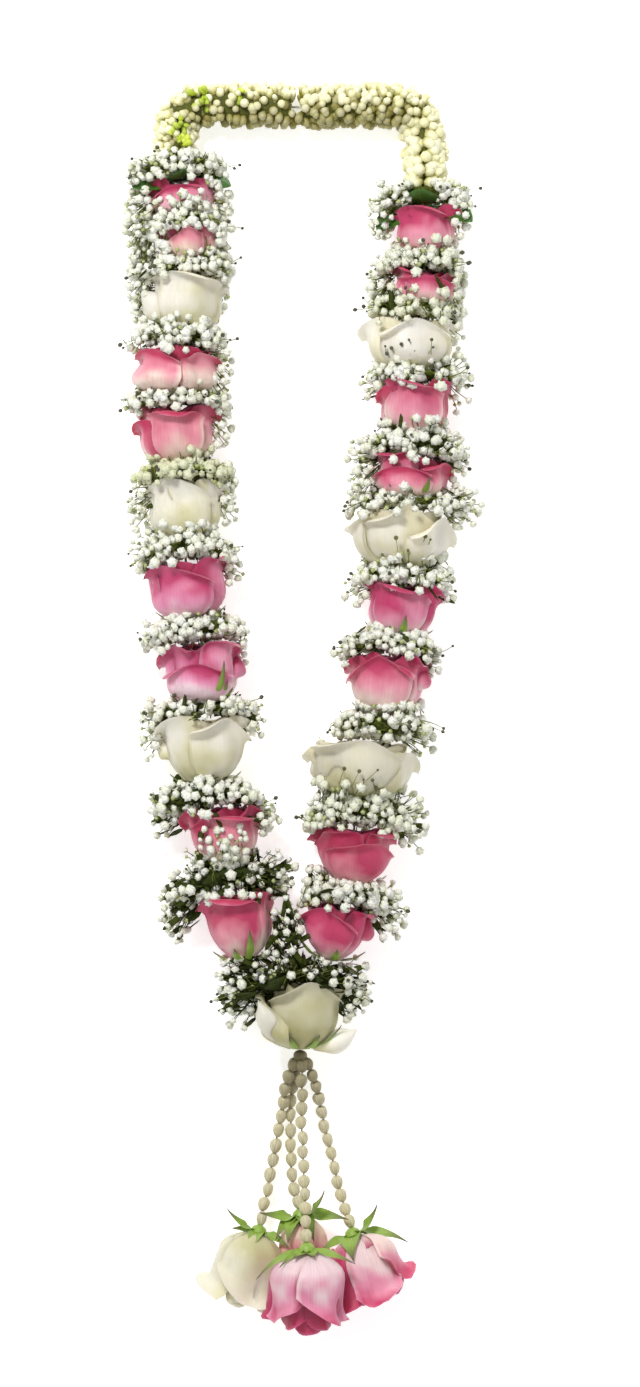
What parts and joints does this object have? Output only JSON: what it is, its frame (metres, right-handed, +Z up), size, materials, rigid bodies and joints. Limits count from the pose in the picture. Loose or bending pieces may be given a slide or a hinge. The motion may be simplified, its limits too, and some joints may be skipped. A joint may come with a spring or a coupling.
{
  "type": "wedding garland",
  "caption": "Flower garland lying flat: a closed strand of roses and baby's breath with a jasmine bud neck rope and a tassel of bud strings ending in roses.",
  "frame": {"origin": "on the surface it lies on, under the middle of the garland's box", "axes": "+Y from the tassel to the neck rope, +X to the right seen from the front, +Z up, out of the surface"},
  "size_m": [0.2415, 0.8761, 0.0765],
  "materials": {
    "pink_petals": "soft matte petals",
    "white_petals": "soft matte petals",
    "babys_breath": "matte florets",
    "jasmine_buds": "waxy matte buds",
    "tassel_buds": "waxy matte buds",
    "sepals": "satin green",
    "leaves": "satin dark green",
    "thread": "matte cotton"
  },
  "bodies": {
    "root": {"babys_breath_left_01": "babys_breath", "babys_breath_left_02": "babys_breath", "babys_breath_left_03": "babys_breath", "babys_breath_left_04": "babys_breath", "babys_breath_left_05": "babys_breath", "babys_breath_left_06": "babys_breath", "babys_breath_left_07": "babys_breath", "babys_breath_left_08": "babys_breath", "babys_breath_left_09": "babys_breath", "babys_breath_left_10": "babys_breath", "babys_breath_left_11": "babys_breath", "babys_breath_right_01": "babys_breath", "babys_breath_right_02": "babys_breath", "babys_breath_right_03": "babys_breath", "babys_breath_right_04": "babys_breath", "babys_breath_right_05": "babys_breath", "babys_breath_right_06": "babys_breath", "babys_breath_right_07": "babys_breath", "babys_breath_right_08": "babys_breath", "babys_breath_right_09": "babys_breath", "babys_breath_right_10": "babys_breath", "babys_breath_right_11": "babys_breath", "babys_breath_tip": "babys_breath", "calyx_back": "sepals", "calyx_front": "sepals", "calyx_left": "sepals", "calyx_right": "sepals", "leaf_collar_left": "leaves", "leaf_collar_right": "leaves", "neck_buds_left": "jasmine_buds", "neck_buds_right": "jasmine_buds", "rose_left_01_pink": "pink_petals", "rose_left_02_pink": "pink_petals", "rose_left_03_white": "white_petals", "rose_left_04_pink": "pink_petals", "rose_left_05_pink": "pink_petals", "rose_left_06_white": "white_petals", "rose_left_07_pink": "pink_petals", "rose_left_08_pink": "pink_petals", "rose_left_09_white": "white_petals", "rose_left_10_pink": "pink_petals", "rose_left_11_pink": "pink_petals", "rose_right_01_pink": "pink_petals", "rose_right_02_pink": "pink_petals", "rose_right_03_white": "white_petals", "rose_right_04_pink": "pink_petals", "rose_right_05_pink": "pink_petals", "rose_right_06_white": "white_petals", "rose_right_07_pink": "pink_petals", "rose_right_08_pink": "pink_petals", "rose_right_09_white": "white_petals", "rose_right_10_pink": "pink_petals", "rose_right_11_pink": "pink_petals", "rose_tip_white": "white_petals", "tassel_bud_strings": "tassel_buds", "tassel_rose_back_pink": "pink_petals", "tassel_rose_front_pink": "pink_petals", "tassel_rose_left_white": "white_petals", "tassel_rose_right_pink": "pink_petals", "thread": "thread"}
  },
  "joints": []
}
